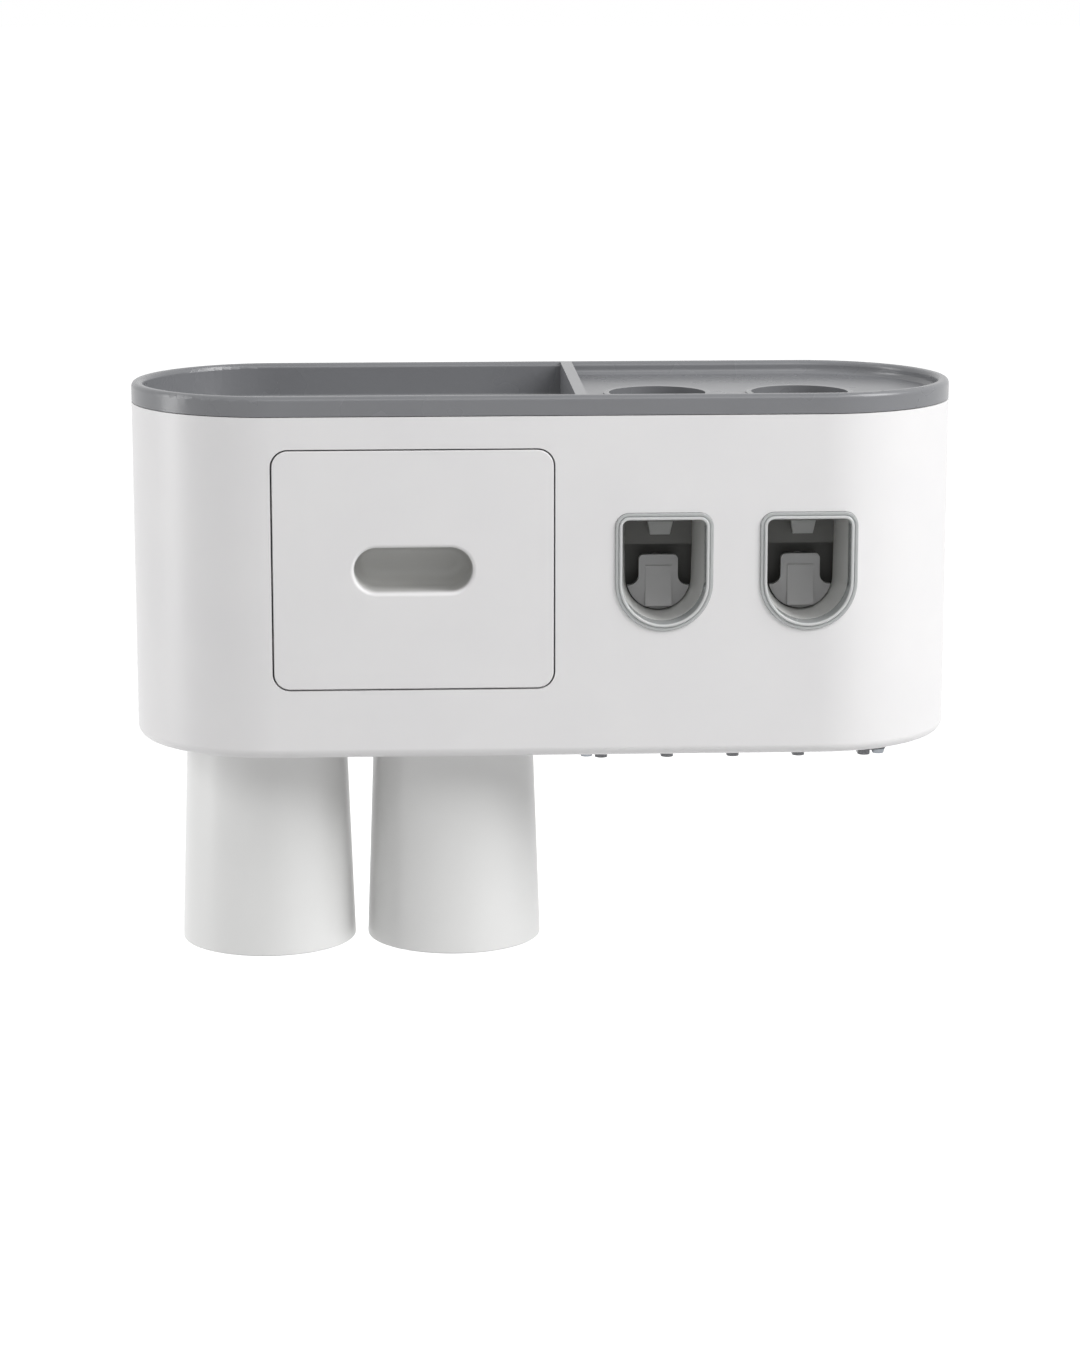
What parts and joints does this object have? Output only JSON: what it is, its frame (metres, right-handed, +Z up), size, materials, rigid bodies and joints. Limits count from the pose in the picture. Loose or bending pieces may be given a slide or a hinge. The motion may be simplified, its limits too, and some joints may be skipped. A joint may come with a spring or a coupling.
{
  "type": "wall-mounted toothpaste dispenser",
  "caption": "Wall-hung bathroom organiser with push-lever toothpaste dispensers, a drawer, a top tray, a toothbrush rack and magnetic rinse cups.",
  "frame": {"origin": "centre of the wall plate's adhesive face, on the wall", "axes": "+Y into the wall, -Y out of the object's front, +X along the body to the dispensers' side, +Z up"},
  "size_m": [0.325, 0.1184, 0.2274],
  "materials": {
    "white_abs": "satin moulded ABS",
    "cup_pp": "satin moulded PP",
    "grey_abs": "satin moulded ABS",
    "duct_abs": "satin moulded ABS",
    "lever_abs": "satin moulded ABS",
    "dark_abs": "matt moulded ABS",
    "clear_bezel": "polished clear plastic",
    "silicone": "matt silicone",
    "rubber": "matt rubber",
    "foam_pad": "matt foam tape",
    "magnet": "nickel plated",
    "screw_steel": "zinc plated",
    "spring_steel": "drawn wire"
  },
  "bodies": {
    "wall_mount": {"wall_plate": "white_abs", "adhesive_pad": "foam_pad"},
    "body": {"outer_shell": "white_abs", "wall_bumpers": "rubber", "base_magnets": "magnet", "base_magnet_covers": "white_abs", "toothbrush_rack": "grey_abs", "rack_screws": "screw_steel", "drawer_frame": "white_abs", "frame_screws": "screw_steel", "bay_shelf": "white_abs", "shelf_screws": "screw_steel", "squeezer_screws": "screw_steel", "cap_screws": "screw_steel", "bezel_left": "clear_bezel", "bezel_right": "clear_bezel", "duct_left": "duct_abs", "duct_right": "duct_abs", "pump_housing_left": "dark_abs", "pump_housing_right": "dark_abs", "rear_cap_left": "dark_abs", "rear_cap_right": "dark_abs", "inlet_sleeve_left": "silicone", "inlet_sleeve_right": "silicone", "nozzle_left": "silicone", "nozzle_right": "silicone", "lever_pin_left": "screw_steel", "lever_pin_right": "screw_steel", "return_spring_left": "spring_steel", "return_spring_right": "spring_steel"},
    "tray": {"top_tray": "grey_abs"},
    "drawer": {"drawer_front": "white_abs", "drawer_bin": "white_abs"},
    "lever_left": {"push_lever_left": "lever_abs"},
    "plunger_left": {"plunger_left": "white_abs", "plunger_seal_left": "rubber"},
    "lever_right": {"push_lever_right": "lever_abs"},
    "plunger_right": {"plunger_right": "white_abs", "plunger_seal_right": "rubber"},
    "cup_left": {"cup_left": "cup_pp", "cup_magnet_left": "magnet", "cup_magnet_cap_left": "cup_pp"},
    "cup_right": {"cup_right": "cup_pp", "cup_magnet_right": "magnet", "cup_magnet_cap_right": "cup_pp"}
  },
  "joints": [
    {"name": "lift_off", "type": "slide", "parent": "wall_mount", "child": "body", "axis": [0, 0, 1], "range_m": [0, 0.012]},
    {"name": "tray_lift", "type": "slide", "parent": "body", "child": "tray", "axis": [0, 0, 1], "range_m": [0, 0.04]},
    {"name": "drawer_slide", "type": "slide", "parent": "body", "child": "drawer", "axis": [0, -1, 0], "range_m": [0, 0.075]},
    {"name": "lever_left_swing", "type": "hinge", "parent": "body", "child": "lever_left", "pos_m": [0.0448, -0.084, -0.044], "axis": [-1, 0, 0], "range_deg": [0, 18], "stiffness_Nm_per_rad": 0.2},
    {"name": "plunger_left_slide", "type": "slide", "parent": "body", "child": "plunger_left", "axis": [0, 1, 0], "range_m": [0, 0.00464], "deforming": ["return_spring_left"]},
    {"name": "lever_right_swing", "type": "hinge", "parent": "body", "child": "lever_right", "pos_m": [0.1011, -0.084, -0.044], "axis": [-1, 0, 0], "range_deg": [0, 18], "stiffness_Nm_per_rad": 0.2},
    {"name": "plunger_right_slide", "type": "slide", "parent": "body", "child": "plunger_right", "axis": [0, 1, 0], "range_m": [0, 0.00464], "deforming": ["return_spring_right"]},
    {"name": "cup_left_pull", "type": "slide", "parent": "body", "child": "cup_left", "axis": [0, 0, -1], "range_m": [0, 0.03]},
    {"name": "cup_right_pull", "type": "slide", "parent": "body", "child": "cup_right", "axis": [0, 0, -1], "range_m": [0, 0.03]}
  ],
  "couplings": [
    {"joint": "lever_left_swing", "follows": "plunger_left_slide", "rad_per_m": 67.567},
    {"joint": "lever_right_swing", "follows": "plunger_right_slide", "rad_per_m": 67.567}
  ]
}
